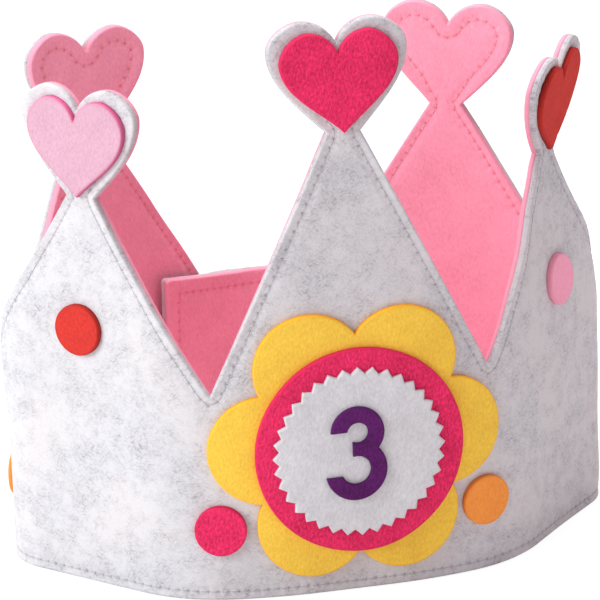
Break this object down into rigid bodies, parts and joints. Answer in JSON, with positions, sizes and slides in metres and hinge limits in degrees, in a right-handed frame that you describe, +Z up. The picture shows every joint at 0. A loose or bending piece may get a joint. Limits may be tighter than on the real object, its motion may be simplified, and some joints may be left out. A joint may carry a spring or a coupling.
{
  "type": "birthday crown",
  "caption": "Child's felt birthday crown: a lined oval ring with heart-topped points, glued-on hearts and dots, and a numbered flower on the front.",
  "frame": {"origin": "on the floor, in the middle of the crown's box", "axes": "+Z up through the ring; the front with the flower faces -Y; +X to the right as seen from the front"},
  "size_m": [0.208, 0.1396, 0.1953],
  "materials": {
    "grey_felt": "matte felt",
    "pink_lining_felt": "matte felt",
    "raspberry_felt": "matte felt",
    "pale_pink_felt": "matte felt",
    "red_felt": "matte felt",
    "yellow_felt": "matte felt",
    "white_felt": "matte felt",
    "purple_felt": "matte felt",
    "orange_felt": "matte felt",
    "pink_felt": "matte felt",
    "closure_tape": "matte woven tape"
  },
  "bodies": {
    "root": {"outer_felt": "grey_felt", "inner_lining": "pink_lining_felt", "heart_front": "raspberry_felt", "heart_left": "pale_pink_felt", "heart_right": "red_felt", "heart_back_left": "red_felt", "heart_back_right": "pale_pink_felt", "flower": "yellow_felt", "medallion_disc": "raspberry_felt", "pinked_disc": "white_felt", "digit_three": "purple_felt", "dot_left_point": "red_felt", "dot_right_point": "pink_felt", "dot_front_left_valley": "raspberry_felt", "dot_front_right_valley": "orange_felt", "dot_left_end_valley": "orange_felt", "dot_right_end_valley": "raspberry_felt", "dot_back_left_point": "pink_felt", "dot_back_right_point": "red_felt", "hook_tape": "closure_tape", "loop_tape": "closure_tape"}
  },
  "joints": []
}
